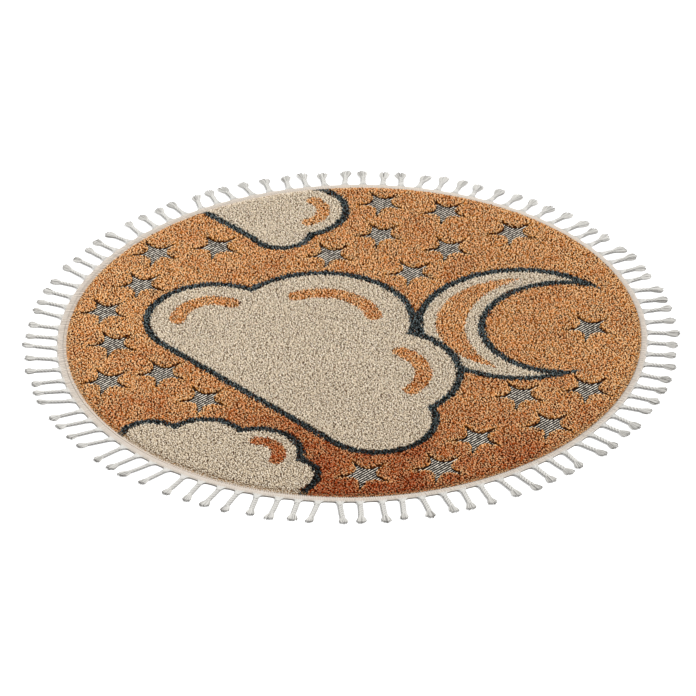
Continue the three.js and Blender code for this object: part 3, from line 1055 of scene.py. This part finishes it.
def tassel_cotton():
    """Loosely spun cotton: off-white where it lies open to the light, with painted shade low on each ply, on
    the lower strands of each brush and at its cut ends.
    """
    material, tree, shader = start_material("tassel_cotton", roughness=0.9, sheen=0.2, tint="fffdf8")
    painted_lit_share = add(tree, "Attribute", attribute_name="painted_lit_share").outputs["Fac"]
    place = add(tree, "TexCoord").outputs["Object"]
    fibres = add(tree, "TexNoise", {"Vector": place, "Scale": 1 / TASSEL_FIBRES, "Detail": 2.0})
    fibrous = {0: fibres.outputs["Fac"], 1: FIBRE_SHARE, 2: painted_lit_share}
    tone = add(tree, "Math", fibrous, operation="MULTIPLY_ADD").outputs[0]
    painted_lit_mix = add(tree, "MapRange", {"Value": tone, "From Min": 0.45, "From Max": 1.05})
    spun = {"Factor": painted_lit_mix.outputs[0], 6: linear("6e6b66"), 7: linear("d2d0cb")}
    colour = add(tree, "Mix", spun, data_type="RGBA").outputs[2]
    tree.links.new(colour, shader.inputs["Base Color"])
    return material


tassel_yarn = tassel_cotton()
tassel_roots = finish_piece("tassel_roots", root_mesh(), tassel_yarn, "fringe")
tassel_stems = finish_piece("tassel_stems", stem_mesh(), tassel_yarn, "fringe")
tassel_brushes = finish_piece("tassel_brushes", brush_mesh(), tassel_yarn, "fringe")


# Stage: a plain white floor that glows a little and an even sky, a broad sun from behind on the
# right and a weak soft light on the left. A long lens looks down at the rug from in front.
CAMERA_AZIMUTH = math.radians(46.9)
CAMERA_ELEVATION = math.radians(32.55)
CAMERA_DISTANCE = 9.5
CAMERA_ROLL = math.radians(1.03)
CAMERA_SENSOR = 36
CAMERA_AIM = {"right": -8.8 * MM, "near": 45.2 * MM}
FRAME_WIDTH = 1.3977
FLOOR_SIZE = 12
FLOOR_DROP = 0.3 * MM
FLOOR_GLOW = 0.22
SKY_STRENGTH = 0.46
SUN = {"angle": math.radians(9), "energy": 2.9, "right": -0.62, "near": 0.3, "up": -1}
FILL = {"size": 1.2, "energy": 10, "right": -1.8, "near": -0.4, "up": 1.3}

right = np.array((math.cos(CAMERA_AZIMUTH), math.sin(CAMERA_AZIMUTH), 0))
near = np.array((math.sin(CAMERA_AZIMUTH), -math.cos(CAMERA_AZIMUTH), 0))
up_axis = np.array((0, 0, 1.0))
aim = CAMERA_AIM["right"] * right + CAMERA_AIM["near"] * near

camera = bpy.data.cameras.new("camera")
camera.sensor_width = CAMERA_SENSOR
camera.lens = CAMERA_SENSOR * CAMERA_DISTANCE / FRAME_WIDTH
camera.clip_end = 100
camera_object = bpy.data.objects.new("camera", camera)
camera_object.location = aim + CAMERA_DISTANCE * (
    math.cos(CAMERA_ELEVATION) * near + math.sin(CAMERA_ELEVATION) * up_axis
)
turned = Matrix.Rotation(CAMERA_AZIMUTH, 3, "Z") @ Matrix.Rotation(math.pi / 2 - CAMERA_ELEVATION, 3, "X")
camera_object.rotation_euler = (turned @ Matrix.Rotation(-CAMERA_ROLL, 3, "Z")).to_euler()
bpy.context.scene.collection.objects.link(camera_object)
bpy.context.scene.camera = camera_object

floor_mesh = bpy.data.meshes.new("floor")
floor_shape = bmesh.new()
bmesh.ops.create_grid(floor_shape, x_segments=1, y_segments=1, size=FLOOR_SIZE)
bmesh.ops.translate(floor_shape, verts=floor_shape.verts[:], vec=(0, 0, -FLOOR_DROP))
floor_shape.to_mesh(floor_mesh)
floor_shape.free()
floor = bpy.data.objects.new("floor", floor_mesh)
bpy.context.scene.collection.objects.link(floor)
floor_paint = bpy.data.materials.new("white_floor")
floor_paint.use_nodes = True
paint = floor_paint.node_tree.nodes["Principled BSDF"].inputs
paint["Base Color"].default_value = linear("fafafa")
paint["Roughness"].default_value = 1.0
paint["Emission Color"].default_value = (1, 1, 1, 1)
paint["Emission Strength"].default_value = FLOOR_GLOW
floor_mesh.materials.append(floor_paint)

world = bpy.data.worlds.new("studio")
world.use_nodes = True
sky = world.node_tree.nodes["Background"].inputs
sky["Color"].default_value = (1, 1, 1, 1)
sky["Strength"].default_value = SKY_STRENGTH
bpy.context.scene.world = world

sun = bpy.data.lights.new("key", "SUN")
sun.angle = SUN["angle"]
sun.energy = SUN["energy"]
sun_object = bpy.data.objects.new("key", sun)
sun_to = Vector(SUN["right"] * right + SUN["near"] * near + SUN["up"] * up_axis)
sun_object.rotation_euler = sun_to.to_track_quat("-Z", "Y").to_euler()
bpy.context.scene.collection.objects.link(sun_object)

fill = bpy.data.lights.new("fill", "AREA")
fill.size = FILL["size"]
fill.energy = FILL["energy"]
fill_object = bpy.data.objects.new("fill", fill)
fill_object.location = FILL["right"] * right + FILL["near"] * near + FILL["up"] * up_axis
fill_object.rotation_euler = (-fill_object.location).to_track_quat("-Z", "Y").to_euler()
bpy.context.scene.collection.objects.link(fill_object)

bpy.context.scene.view_settings.view_transform = "Standard"
